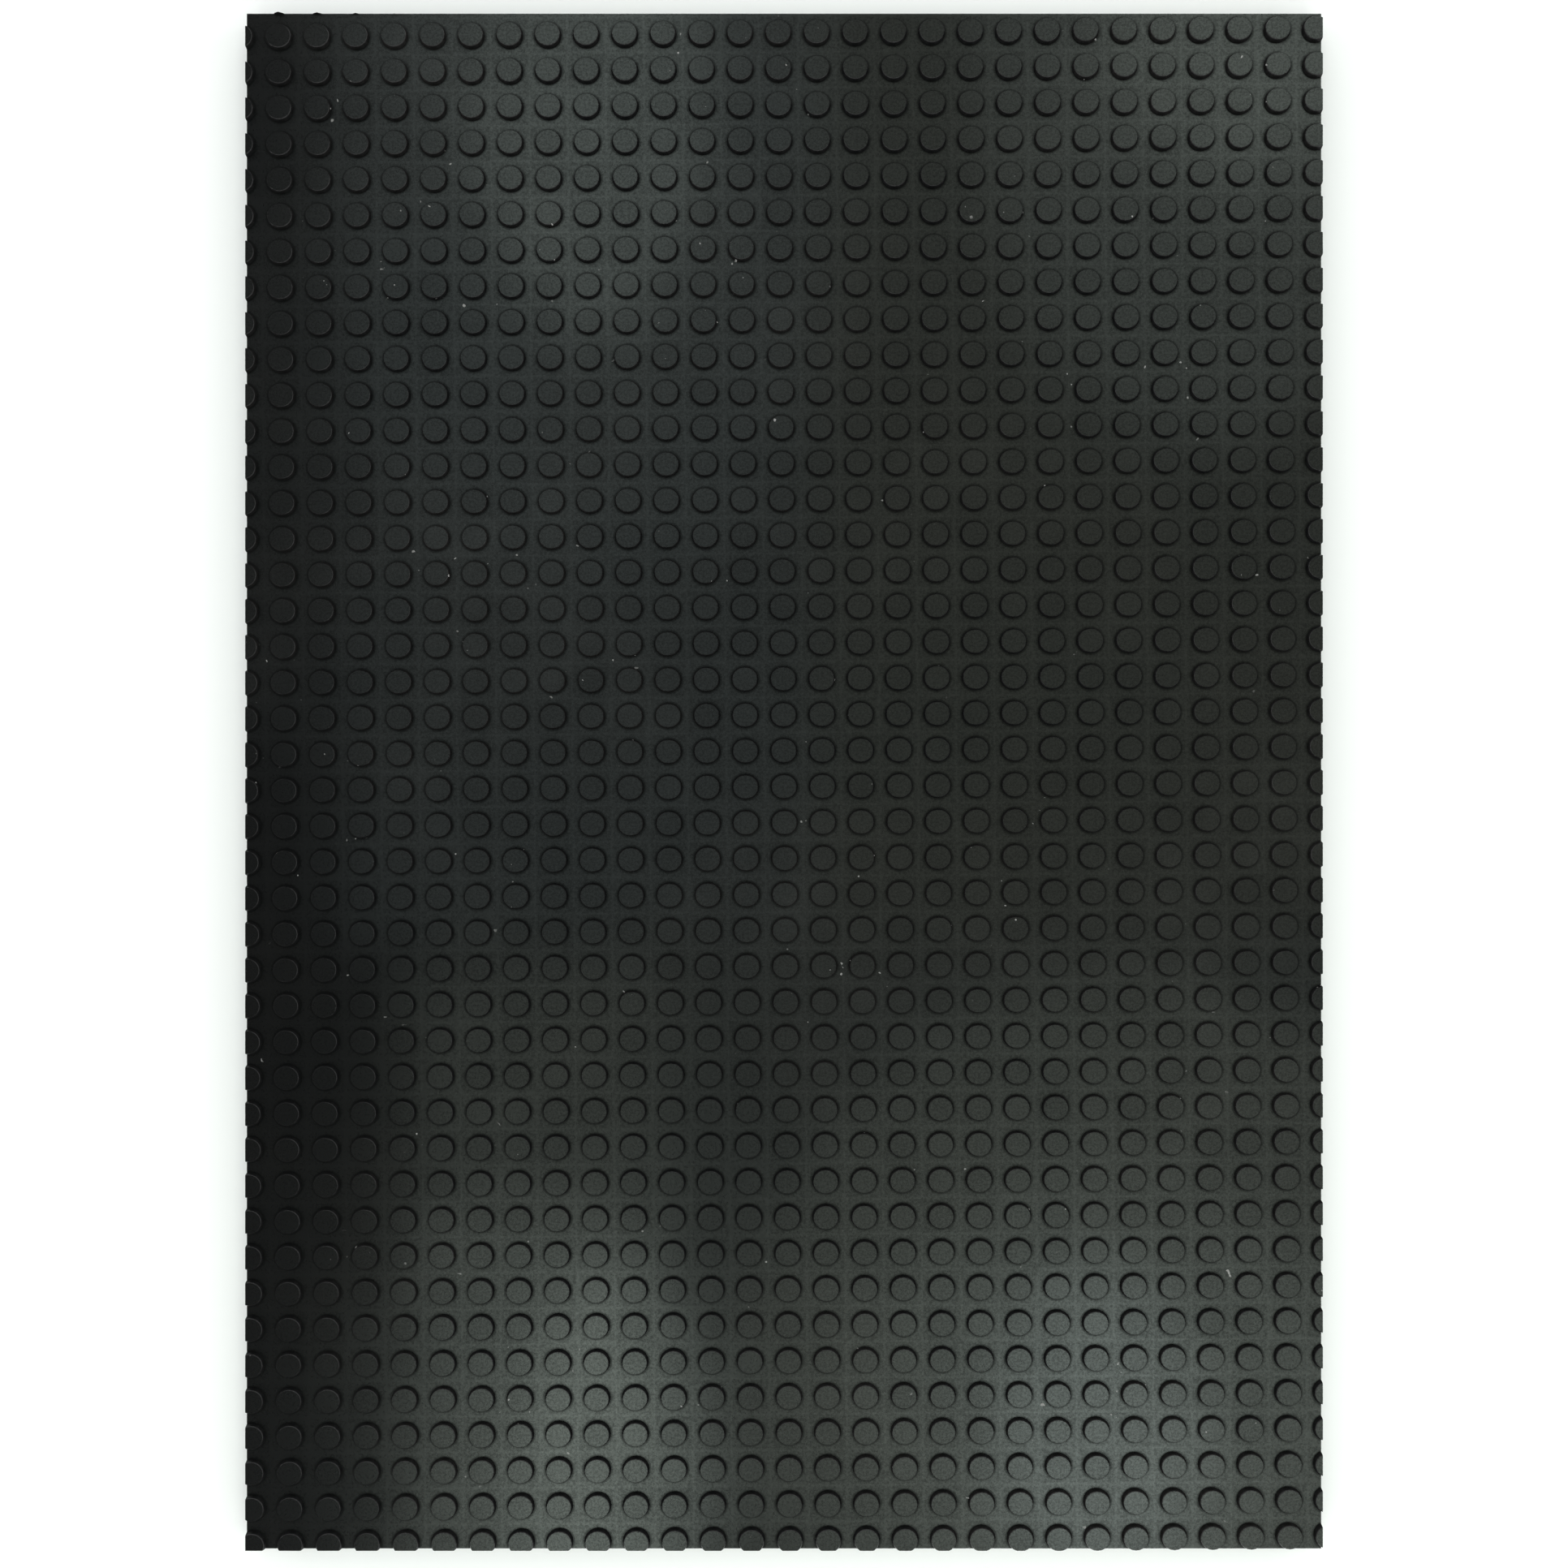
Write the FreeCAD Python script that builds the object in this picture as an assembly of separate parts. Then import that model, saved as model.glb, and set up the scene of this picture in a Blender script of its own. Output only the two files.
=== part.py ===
"""Rubber seedling heat mat: two bonded rubber covers with a heating cable, its layers and its junction inside.

The frame is X across the width, Y along the length, Z up. The origin is the centre of the underside. Sizes in mm.
"""
import FreeCAD
import Part
import math
import os

Vector = FreeCAD.Vector

# Outline and covers
mat_width = 700.0
mat_length = 1000.0
floor_thickness = 3.0        # base cover under the inner layers
rim_width = 20.0             # solid border of the base cover that the top cover is bonded to
bond_thickness = 0.3         # adhesive film on the rim
sheet_thickness = 3.2        # top cover between its studs

# Round studs on the top cover
stud_pitch_x = 25.0
stud_pitch_y = 23.36
stud_root_radius = 8.75
stud_top_radius = 7.9
stud_height = 2.5
stud_sink = 0.5              # how far a stud's root reaches into the sheet
stud_turn = 0.45             # degrees between the stud rows and the outline, counter-clockwise
stud_shift_y = -3.6          # middle row, from the middle of the mat
least_stud_volume = 2.0      # a cut stud smaller than this is not left on the edge

# Heating layers
carrier_thickness = 0.3      # glass scrim that the cable is laid on
cable_radius = 0.9
core_radius = 0.3
core_gap = 0.05
run_pitch = 30.0
run_margin = 15.0            # least distance from the pocket's wall to the first run's middle
lane_start = 15.0            # from the layers' edge to the lane's bends
lane_gap = 12.0              # from the return lane to the nearest half turns
lead_bend = 6.0              # bend radius of the leads
foil_thickness = 0.2
layer_gap = 0.5              # round the edge of each inner layer
cover_gap = 0.3              # over the foil

# Notched strips that hold the cable runs apart
strip_count = 5
strip_width = 10.0
strip_web = 0.3              # over each notch
strip_slip = 0.1             # round the cable in its notch
strip_end = 8.0              # past the outermost runs
strip_inset = 40.0           # from the half turns to the first and last strip

# Cable inlet and the cord clamp behind it
inlet_inset = 120.0          # from the left edge to the inlet
inlet_bore_radius = 2.5
gland_wall = 0.8
gland_fit = 0.05
collar_step = 0.6            # the collar stands this far out from the gland's body
collar_length = 2.5
mouth_chamfer = 0.5
cord_slip = 0.1              # between the bore and a cord
clamp_bite = 0.6             # how far the clamp presses into a cord
clamp_y = 8.0                # from the tray's front face to the clamp
clamp_width = 5.0
clamp_thickness = 1.0
clamp_end = 2.5              # from a screw to the bar's end
boss_radius = 2.0
boss_gap = 1.6               # from a cord to the bosses
screw_radius = 0.8
screw_length = 4.0           # under the head
screw_fit = 0.05
head_radius = 1.5
head_height = 0.6
driver_slot_width = 0.4
driver_slot_depth = 0.3

# Junction tray
tray_recess = 1.0            # sunk into the base cover's floor
tray_floor = 0.8
tray_wall = 1.5
tray_side_room = 5.0         # from the live cable end to the tray's left face
tray_right_room = 10.0       # from the neutral splice to the tray's right face
tray_fit = 0.3
cord_floor_gap = 0.2         # under a cord
screw_head_gap = 0.2         # over the clamp screws
lid_gap = 0.2                # between the lid and the top cover's bond line
lid_thickness = 0.8
lid_lip_width = 0.6
lid_lip_depth = 0.6
lid_lip_fit = 0.2
lead_clearance = 14.0        # open floor between the tray and the layers, where the leads climb
wall_hole_gap = 0.1          # round a cable in the tray's wall

# Splices, all on the level of the inlet
conductor_radius = 0.7       # of a cord's conductors
conductor_gap = 0.05
lead_gap = 0.05
crimp_radius = 1.3
crimp_length = 10.0
crimp_stop = 1.0             # solid middle between its two bores
crimp_room = 6.5             # from the clamp to the cord splices
crimp_spacing = 8.0
insertion = 3.5              # how far a lead reaches into a splice
lead_radius = 0.4
fuse_radius = 1.6
fuse_length = 9.0
fuse_room = 7.0              # from the cord splices to the fuse's line
fuse_straight = 3.0          # straight lead between its bend and the fuse
fuse_lead = 5.0              # free lead between the fuse and its splice
sleeve_wall = 0.4
sleeve_gap = 0.1
sleeve_overhang = 1.5
fuse_bend = 3.0
core_straight = 4.0          # bare wire between its splice and its bend
sheath_room = 5.0            # from the bare wire's bend to the cable's sheath
sheath_inside = 6.0          # from the tray's back face to the end of the cable's sheath
slope_start = 2.0            # level stretch at each end of the leads' climb behind the tray

# Earth strap
strap_width = 5.0
strap_thickness = 0.2
strap_tongue = 1.0
strap_lap = 12.0             # bonded under the foil
strap_slot_gap = 0.3
strap_shoulder = 4.0         # full width, inside the tray's back wall

# Heights, from the inlet upwards
cord_radius = inlet_bore_radius - cord_slip
tray_bottom = floor_thickness - tray_recess
cavity_bottom = tray_bottom + tray_floor
inlet_z = cavity_bottom + cord_floor_gap + cord_radius
clamp_z = inlet_z + cord_radius - clamp_bite
head_top = clamp_z + clamp_thickness + head_height
cavity_top = head_top + screw_head_gap
lid_top = cavity_top + lid_thickness
base_top = lid_top + lid_gap
foil_z = base_top - cover_gap - foil_thickness
strip_height = 2 * cable_radius + strip_slip + strip_web
carrier_top = foil_z - strip_height
cable_z = carrier_top + cable_radius
carrier_z = carrier_top - carrier_thickness
sheet_z = base_top + bond_thickness
sheet_top = sheet_z + sheet_thickness

# Plan, from the inlet edge inwards
pocket_width = mat_width - 2 * rim_width
pocket_length = mat_length - 2 * rim_width
inlet_x = -mat_width / 2 + inlet_inset
edge_y = -mat_length / 2
tray_front = edge_y + rim_width
crimp_near_y = tray_front + clamp_y + clamp_width / 2 + crimp_room
crimp_far_y = crimp_near_y + crimp_length
fuse_line_y = crimp_far_y + fuse_room
tray_back = fuse_line_y + fuse_bend + sheath_room + sheath_inside
tray_depth = tray_back - tray_front
neutral_x = inlet_x + crimp_spacing
live_splice_x = inlet_x - crimp_spacing
fuse_near_x = live_splice_x - fuse_bend - fuse_straight
fuse_far_x = fuse_near_x - fuse_length
fuse_splice_x = fuse_far_x - fuse_lead
live_x = fuse_splice_x - crimp_length - core_straight - fuse_bend
tray_left = live_x - tray_side_room
tray_width = neutral_x + tray_right_room - tray_left
layers_y = tray_back + lead_clearance
slope_foot_y = tray_back + slope_start
slope_head_y = layers_y - slope_start
lane_y = layers_y + lane_start + lead_bend
turn_y = lane_y + lane_gap
far_y = pocket_length / 2 - run_margin
run_count = 2 * int(((pocket_width - 2 * run_margin) / run_pitch + 1) // 2)
run_xs = [(index - (run_count - 1) / 2) * run_pitch for index in range(run_count)]
gland_radius = inlet_bore_radius + gland_wall
collar_radius = gland_radius + collar_step
gland_length = rim_width + tray_wall
boss_x = cord_radius + boss_gap + boss_radius

past = 1.0                   # how far a cutting tool reaches past the face that it cuts

ACROSS = Vector(1, 0, 0)
ALONG = Vector(0, 1, 0)
UP = Vector(0, 0, 1)


def box(low_x, low_y, low_z, size_x, size_y, size_z):
    """A block from its lowest corner and its three sizes."""
    return Part.makeBox(size_x, size_y, size_z, Vector(low_x, low_y, low_z))


def centred_box(size_x, size_y, low_z, size_z):
    """A block whose plan is centred on the mat."""
    return box(-size_x / 2, -size_y / 2, low_z, size_x, size_y, size_z)


def rod(radius, length, start, direction):
    return Part.makeCylinder(radius, length, start, direction)


def tube(outer, inner, length, start, direction):
    return rod(outer, length, start, direction).cut(rod(inner, length, start, direction))


def corner_arc(before, corner, after, radius):
    """The arc that rounds a corner, with its two ends."""
    arriving = (corner - before).normalize()
    leaving = (after - corner).normalize()
    half_turn = arriving.getAngle(leaving) / 2
    setback = radius * math.tan(half_turn)
    start = corner - arriving * setback
    end = corner + leaving * setback
    inward = (leaving - arriving).normalize()
    middle = corner + inward * (radius / math.cos(half_turn) - radius)
    return start, end, Part.Arc(start, middle, end).toShape()


def rounded_path(stops):
    """A wire through corners, each given as its point and its bend radius."""
    edges = []
    reached = stops[0][0]
    for before, here, after in zip(stops, stops[1:], stops[2:]):
        start, end, arc = corner_arc(before[0], here[0], after[0], here[1])
        if (start - reached).Length > 1e-6:
            edges.append(Part.makeLine(reached, start))
        edges.append(arc)
        reached = end
    edges.append(Part.makeLine(reached, stops[-1][0]))
    return Part.Wire(edges)


def swept_round(path, radius):
    """A round bar along a path."""
    first = path.OrderedEdges[0]
    start = first.valueAt(first.FirstParameter)
    heading = first.tangentAt(first.FirstParameter)
    circle = Part.Wire(Part.makeCircle(radius, start, heading))
    return path.makePipeShell([circle], True, False)


def tray_zone(gap):
    """The plan that the inner layers leave free for the tray and the climbing leads."""
    depth = layers_y + pocket_length / 2
    return box(tray_left - gap, -pocket_length / 2 - past, 0, tray_width + 2 * gap, depth + past, sheet_top)


def inner_layer(low_z, thickness):
    """A layer that fills the pocket's plan, cut away round the tray."""
    plate = centred_box(pocket_width - 2 * layer_gap, pocket_length - 2 * layer_gap, low_z, thickness)
    return plate.cut(tray_zone(layer_gap))


def stud_places():
    """The middles of the studs that touch the outline."""
    turn = math.radians(stud_turn)
    reach = math.hypot(mat_width, mat_length) / 2
    columns = int(reach / stud_pitch_x) + 1
    rows = int(reach / stud_pitch_y) + 1
    places = []
    for column in range(-columns, columns + 1):
        for row in range(-rows, rows + 1):
            across = column * stud_pitch_x
            along = row * stud_pitch_y + stud_shift_y
            x = across * math.cos(turn) - along * math.sin(turn)
            y = across * math.sin(turn) + along * math.cos(turn)
            if abs(x) < mat_width / 2 + stud_root_radius and abs(y) < mat_length / 2 + stud_root_radius:
                places.append((x, y))
    return places


def stud(x, y):
    """One round stud with drafted sides, rooted in the sheet."""
    draft = (stud_root_radius - stud_top_radius) / stud_height
    sunk_radius = stud_root_radius + draft * stud_sink
    root = Vector(x, y, sheet_top - stud_sink)
    return Part.makeCone(sunk_radius, stud_top_radius, stud_height + stud_sink, root)


def studded_cover():
    """The top cover. Studs that the outline crosses are cut off flush with the edge."""
    sheet = centred_box(mat_width, mat_length, sheet_z, sheet_thickness)
    outline = centred_box(mat_width, mat_length, sheet_z, 2 * (sheet_thickness + stud_height))
    studs = []
    for x, y in stud_places():
        whole = stud(x, y)
        past_side = abs(x) + stud_root_radius + stud_sink > mat_width / 2
        past_end = abs(y) + stud_root_radius + stud_sink > mat_length / 2
        if past_side or past_end:
            kept = whole.common(outline)
            studs.extend(piece for piece in kept.Solids if piece.Volume > least_stud_volume)
        else:
            studs.append(whole)
    return sheet.multiFuse(studs).Solids[0]


def base_cover():
    """The lower cover: a floor, a border, the tray's recess and the inlet's stepped hole."""
    body = centred_box(mat_width, mat_length, 0, base_top)
    pocket = centred_box(pocket_width, pocket_length, floor_thickness, base_top)
    recess = box(tray_left - tray_fit, tray_front, tray_bottom,
                 tray_width + 2 * tray_fit, tray_depth + tray_fit, base_top)
    hole = rod(gland_radius + gland_fit, rim_width + 2 * past, Vector(inlet_x, edge_y - past, inlet_z), ALONG)
    seat_y = tray_front - collar_length - gland_fit
    seat = rod(collar_radius + gland_fit, collar_length + past, Vector(inlet_x, seat_y, inlet_z), ALONG)
    return body.cut([pocket, recess, hole, seat])


def edge_bond():
    """The adhesive film between the covers, all round the border."""
    film = centred_box(mat_width, mat_length, base_top, bond_thickness)
    return film.cut(centred_box(pocket_width, pocket_length, base_top - past, bond_thickness + 2 * past))


def cable_stops():
    """The cable's corners from one tray wall to the other: a climb, the lane, the runs and back."""
    level = Vector(0, 0, cable_z)
    low = Vector(0, 0, inlet_z)
    stops = [
        (Vector(live_x, slope_foot_y, 0) + low, lead_bend),
        (Vector(live_x, slope_head_y, 0) + level, lead_bend),
        (Vector(live_x, lane_y, 0) + level, lead_bend),
        (Vector(run_xs[0], lane_y, 0) + level, lead_bend),
    ]
    for index, x in enumerate(run_xs[:-1]):
        y = far_y if index % 2 == 0 else turn_y
        stops.append((Vector(x, y, 0) + level, run_pitch / 2))
        stops.append((Vector(x + run_pitch, y, 0) + level, run_pitch / 2))
    stops.extend([
        (Vector(run_xs[-1], lane_y, 0) + level, lead_bend),
        (Vector(neutral_x, lane_y, 0) + level, lead_bend),
        (Vector(neutral_x, slope_head_y, 0) + level, lead_bend),
        (Vector(neutral_x, slope_foot_y, 0) + low, lead_bend),
    ])
    return stops


def heating_sheath():
    """The cable's insulation, which ends just inside the tray."""
    end_y = tray_back - sheath_inside
    stops = [(Vector(live_x, end_y, inlet_z), 0)] + cable_stops() + [(Vector(neutral_x, end_y, inlet_z), 0)]
    path = rounded_path(stops)
    return swept_round(path, cable_radius).cut(swept_round(path, core_radius + core_gap))


def heating_core():
    """The resistance wire, from the fuse's splice round the mat to the neutral splice."""
    splice_x = fuse_splice_x - crimp_length + insertion
    stops = [
        (Vector(splice_x, fuse_line_y, inlet_z), 0),
        (Vector(live_x, fuse_line_y, inlet_z), fuse_bend),
    ]
    stops = stops + cable_stops() + [(Vector(neutral_x, crimp_far_y - insertion, inlet_z), 0)]
    return swept_round(rounded_path(stops), core_radius)


def spacer_strip(y):
    """A strip across the runs, with a round-topped notch over each."""
    low_x = run_xs[0] - strip_end
    strip = box(low_x, y - strip_width / 2, carrier_top, -2 * low_x, strip_width, strip_height)
    notch_radius = cable_radius + strip_slip
    front_y = y - strip_width / 2 - past
    notches = []
    for x in run_xs:
        top = rod(notch_radius, strip_width + 2 * past, Vector(x, front_y, cable_z), ALONG)
        foot = box(x - notch_radius, front_y, carrier_top - past,
                   2 * notch_radius, strip_width + 2 * past, cable_radius + past)
        notches.append(top.fuse(foot))
    return strip.cut(notches)


def junction_tray():
    """The box behind the inlet, with the clamp's bosses and its wall openings."""
    height = cavity_top - tray_bottom
    body = box(tray_left, tray_front, tray_bottom, tray_width, tray_depth, height)
    cavity = box(tray_left + tray_wall, tray_front + tray_wall, cavity_bottom,
                 tray_width - 2 * tray_wall, tray_depth - 2 * tray_wall, height)
    body = body.cut(cavity)
    for side in (-1, 1):
        foot = Vector(inlet_x + side * boss_x, tray_front + clamp_y, cavity_bottom)
        body = body.fuse(rod(boss_radius, clamp_z - cavity_bottom, foot, UP))
        pilot_z = clamp_z + clamp_thickness - screw_length
        pilot = Vector(foot.x, foot.y, pilot_z)
        body = body.cut(rod(screw_radius + screw_fit, height, pilot, UP))
    back_y = tray_back - tray_wall - past
    reach = tray_wall + 2 * past
    openings = [rod(gland_radius + gland_fit, reach, Vector(inlet_x, tray_front - past, inlet_z), ALONG)]
    for x in (live_x, neutral_x):
        openings.append(rod(cable_radius + wall_hole_gap, reach, Vector(x, back_y, inlet_z), ALONG))
    slot_width = strap_width + 2 * strap_slot_gap
    slot_height = strap_thickness + 2 * strap_slot_gap
    openings.append(box(inlet_x - slot_width / 2, back_y, inlet_z - slot_height / 2,
                        slot_width, reach, slot_height))
    return body.cut(openings).removeSplitter()


def junction_lid():
    """The tray's lid, with a lip that drops inside its walls."""
    plate = box(tray_left, tray_front, cavity_top, tray_width, tray_depth, lid_thickness)
    inset = tray_wall + lid_lip_fit
    lip = box(tray_left + inset, tray_front + inset, cavity_top - lid_lip_depth,
              tray_width - 2 * inset, tray_depth - 2 * inset, lid_lip_depth)
    inner = inset + lid_lip_width
    hollow = box(tray_left + inner, tray_front + inner, cavity_top - lid_lip_depth,
                 tray_width - 2 * inner, tray_depth - 2 * inner, lid_lip_depth)
    return plate.fuse(lip.cut(hollow)).removeSplitter()


def cable_gland():
    """The rubber bush in the border: a body, a collar behind the border and a bore right through."""
    start = Vector(inlet_x, edge_y, inlet_z)
    body = rod(gland_radius, gland_length, start, ALONG)
    collar = rod(collar_radius, collar_length, Vector(inlet_x, tray_front - collar_length, inlet_z), ALONG)
    mouth = Part.makeCone(inlet_bore_radius + mouth_chamfer, inlet_bore_radius, mouth_chamfer, start, ALONG)
    return body.fuse(collar).cut([rod(inlet_bore_radius, gland_length, start, ALONG), mouth])


def cord_clamp():
    """The bar that presses a cord down, screwed to the two bosses."""
    half = boss_x + clamp_end
    y = tray_front + clamp_y
    bar = box(inlet_x - half, y - clamp_width / 2, clamp_z, 2 * half, clamp_width, clamp_thickness)
    holes = []
    for side in (-1, 1):
        foot = Vector(inlet_x + side * boss_x, y, clamp_z - past)
        holes.append(rod(screw_radius + screw_fit, clamp_thickness + 2 * past, foot, UP))
    return bar.cut(holes)


def clamp_screw(x):
    """A flat-headed screw with a straight driver slot."""
    y = tray_front + clamp_y
    head_z = clamp_z + clamp_thickness
    shank = rod(screw_radius, screw_length, Vector(x, y, head_z - screw_length), UP)
    head = rod(head_radius, head_height, Vector(x, y, head_z), UP)
    slot = box(x - head_radius, y - driver_slot_width / 2, head_z + head_height - driver_slot_depth,
               2 * head_radius, driver_slot_width, driver_slot_depth)
    return shank.fuse(head).cut(slot)


def clamp_screws():
    return Part.makeCompound([clamp_screw(inlet_x + side * boss_x) for side in (-1, 1)])


def splice(start, direction, first_bore, second_bore):
    """A crimped barrel with a bore from each end and a solid stop between them."""
    depth = (crimp_length - crimp_stop) / 2
    barrel = rod(crimp_radius, crimp_length, start, direction)
    second_start = start + direction * (crimp_length - depth)
    return barrel.cut([rod(first_bore, depth, start, direction), rod(second_bore, depth, second_start, direction)])


def cord_splice(offset, second_bore):
    """A splice behind the clamp, open towards the inlet for one of a cord's conductors."""
    start = Vector(inlet_x + offset, crimp_near_y, inlet_z)
    return splice(start, ALONG, conductor_radius + conductor_gap, second_bore)


def fuse_crimp():
    start = Vector(fuse_splice_x, fuse_line_y, inlet_z)
    return splice(start, ACROSS * -1, lead_radius + lead_gap, core_radius + core_gap)


def thermal_fuse():
    """The sealed one-shot fuse in the live side."""
    return rod(fuse_radius, fuse_length, Vector(fuse_far_x, fuse_line_y, inlet_z), ACROSS)


def fuse_sleeve():
    """The glass sleeve slipped over the fuse."""
    inner = fuse_radius + sleeve_gap
    start = Vector(fuse_far_x - sleeve_overhang, fuse_line_y, inlet_z)
    return tube(inner + sleeve_wall, inner, fuse_length + 2 * sleeve_overhang, start, ACROSS)


def fuse_lead_in():
    """The lead from the live splice to the fuse, with one bend."""
    stops = [
        (Vector(live_splice_x, crimp_far_y - insertion, inlet_z), 0),
        (Vector(live_splice_x, fuse_line_y, inlet_z), fuse_bend),
        (Vector(fuse_near_x, fuse_line_y, inlet_z), 0),
    ]
    return swept_round(rounded_path(stops), lead_radius)


def fuse_lead_out():
    length = fuse_lead + insertion
    return rod(lead_radius, length, Vector(fuse_far_x - length, fuse_line_y, inlet_z), ACROSS)


def earth_strap():
    """A flat copper strap: a narrow tongue in the earth splice, then a climb to the foil's underside."""
    low = inlet_z - strap_thickness / 2
    high = foil_z - strap_thickness
    under = [
        (crimp_far_y - insertion, low),
        (slope_foot_y, low),
        (slope_head_y, high),
        (layers_y + strap_lap, high),
    ]
    over = [(y, z + strap_thickness) for y, z in reversed(under)]
    corners = [Vector(inlet_x - strap_width / 2, y, z) for y, z in under + over]
    strap = Part.Face(Part.makePolygon(corners + corners[:1])).extrude(ACROSS * strap_width)
    side = (strap_width - strap_tongue) / 2
    shoulder_length = tray_back - tray_wall - crimp_far_y - strap_shoulder
    waste = []
    for low_x in (inlet_x - strap_width / 2, inlet_x + strap_tongue / 2):
        waste.append(box(low_x, crimp_far_y - insertion, cavity_bottom,
                         side, insertion + shoulder_length, cavity_top - cavity_bottom))
    return strap.cut(waste)


def parts():
    """Every piece by its node name."""
    made = {
        "studded_cover": studded_cover(),
        "edge_bond": edge_bond(),
        "base_cover": base_cover(),
        "insulation_pad": inner_layer(floor_thickness, carrier_z - floor_thickness),
        "element_carrier": inner_layer(carrier_z, carrier_thickness),
        "heat_spreader": inner_layer(foil_z, foil_thickness),
        "heating_sheath": heating_sheath(),
        "heating_core": heating_core(),
        "cable_gland": cable_gland(),
        "junction_tray": junction_tray(),
        "junction_lid": junction_lid(),
        "cord_clamp": cord_clamp(),
        "clamp_screws": clamp_screws(),
        "live_crimp": cord_splice(-crimp_spacing, lead_radius + lead_gap),
        "earth_crimp": cord_splice(0, conductor_radius + conductor_gap),
        "neutral_crimp": cord_splice(crimp_spacing, core_radius + core_gap),
        "fuse_crimp": fuse_crimp(),
        "fuse_lead_in": fuse_lead_in(),
        "fuse_lead_out": fuse_lead_out(),
        "thermal_fuse": thermal_fuse(),
        "fuse_sleeve": fuse_sleeve(),
        "earth_strap": earth_strap(),
    }
    span = far_y - turn_y - 2 * strip_inset
    for index in range(strip_count):
        y = turn_y + strip_inset + span * index / (strip_count - 1)
        made[f"spacer_strip_{index + 1}"] = spacer_strip(y)
    return made


os.makedirs("parts", exist_ok=True)
for name, shape in parts().items():
    shape.exportStep(f"parts/{name}.step")
    print(name, "solids", len(shape.Solids), "valid", shape.isValid(), "mm3", round(shape.Volume, 1))
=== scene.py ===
# %% [markdown]
# # A rubber seedling heat mat
# The mat is two rubber covers with a heating cable between them. What shows is the top cover: a black sheet
# with hundreds of low round studs, cut to size so that the edges run through some of them. The frame below
# holds the designed parts at their real size in metres, and every new piece takes its size from them.

# %% Load the frame
import math

import bpy
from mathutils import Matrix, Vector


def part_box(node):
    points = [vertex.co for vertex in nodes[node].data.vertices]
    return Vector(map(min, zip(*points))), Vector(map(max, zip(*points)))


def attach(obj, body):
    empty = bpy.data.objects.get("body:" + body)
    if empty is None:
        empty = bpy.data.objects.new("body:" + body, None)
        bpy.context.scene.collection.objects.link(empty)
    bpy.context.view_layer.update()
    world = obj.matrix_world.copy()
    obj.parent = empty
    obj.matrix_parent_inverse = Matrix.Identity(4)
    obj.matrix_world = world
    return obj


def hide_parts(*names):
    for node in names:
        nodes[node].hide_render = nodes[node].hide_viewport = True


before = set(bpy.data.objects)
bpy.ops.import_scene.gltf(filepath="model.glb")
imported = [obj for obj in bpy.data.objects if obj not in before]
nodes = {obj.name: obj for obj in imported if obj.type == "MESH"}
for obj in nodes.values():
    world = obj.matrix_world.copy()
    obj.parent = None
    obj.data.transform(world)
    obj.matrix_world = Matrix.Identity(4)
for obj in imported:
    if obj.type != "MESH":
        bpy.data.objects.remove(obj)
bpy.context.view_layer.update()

print("designed parts:", len(nodes))

# %% [markdown]
# ## Sizes
# The outline and the heights are read from the designed parts, so that the new pieces sit where those do.
# The stud pattern is the mould's: its pitch, the slight turn that the sheet was cut at, and the shape of
# one stud.

# %% Sizes
cover_low, cover_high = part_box("studded_cover")
base_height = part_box("base_cover")[1][2]
half_width = cover_high[0]
half_length = cover_high[1]
sheet_bottom = cover_low[2]
stud_top = cover_high[2]
wall_rise = 0.0020
rim_rise = 0.0005
sheet_top = stud_top - wall_rise - rim_rise
pitch_x = 0.025
pitch_y = 0.02336
stud_turn = math.radians(0.45)
stud_shift_y = -0.0036
print("mat", round(2 * half_width, 4), "by", round(2 * half_length, 4), "by", round(stud_top, 4), "m")

# %% [markdown]
# ## Small helpers for modelling by hand
# Most steps are the ones a person takes in edit mode: choose some points by where they are, then move,
# extrude or cut them. Choosing is done in object mode, on the mesh's own points, before edit mode is
# entered again.


# %% Choosing and editing
def only(piece):
    """Make one object the active and only selected one."""
    if bpy.context.object and bpy.context.object.mode != "OBJECT":
        bpy.ops.object.mode_set(mode="OBJECT")
    bpy.ops.object.select_all(action="DESELECT")
    piece.select_set(True)
    bpy.context.view_layer.objects.active = piece


def choose_points(piece, test):
    """Select the points that pass a test of their place, and go to edit mode."""
    only(piece)
    bpy.ops.object.mode_set(mode="EDIT")
    bpy.ops.mesh.select_mode(type="VERT")
    bpy.ops.mesh.select_all(action="DESELECT")
    bpy.ops.object.mode_set(mode="OBJECT")
    for point in piece.data.vertices:
        point.select = test(point.co)
    bpy.ops.object.mode_set(mode="EDIT")


def choose_faces(piece, test):
    """Select the faces that pass a test, and go to edit mode."""
    only(piece)
    bpy.ops.object.mode_set(mode="EDIT")
    bpy.ops.mesh.select_mode(type="FACE")
    bpy.ops.mesh.select_all(action="DESELECT")
    bpy.ops.object.mode_set(mode="OBJECT")
    for face in piece.data.polygons:
        face.select = test(face)
    bpy.ops.object.mode_set(mode="EDIT")


def leave_edit():
    bpy.ops.object.mode_set(mode="OBJECT")


def measured(piece):
    """Print how many triangles a piece has."""
    piece.data.calc_loop_triangles()
    print(piece.name, "triangles", len(piece.data.loop_triangles))


# %% [markdown]
# ## One tile of the studded sheet
# The sheet is one skin: the flat ground runs into the studs, so a tile is a rectangle of ground, one pitch
# by one pitch, with a stud in its middle. The ground starts as a small grid whose inside is removed, which
# leaves a rectangular loop of twenty points. A circle of twenty points goes inside it, and a bridge joins
# the two loops. The stud is then raised from the circle in two steps, a steep wall and a rounded edge, and
# closed with a flat top.

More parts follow.
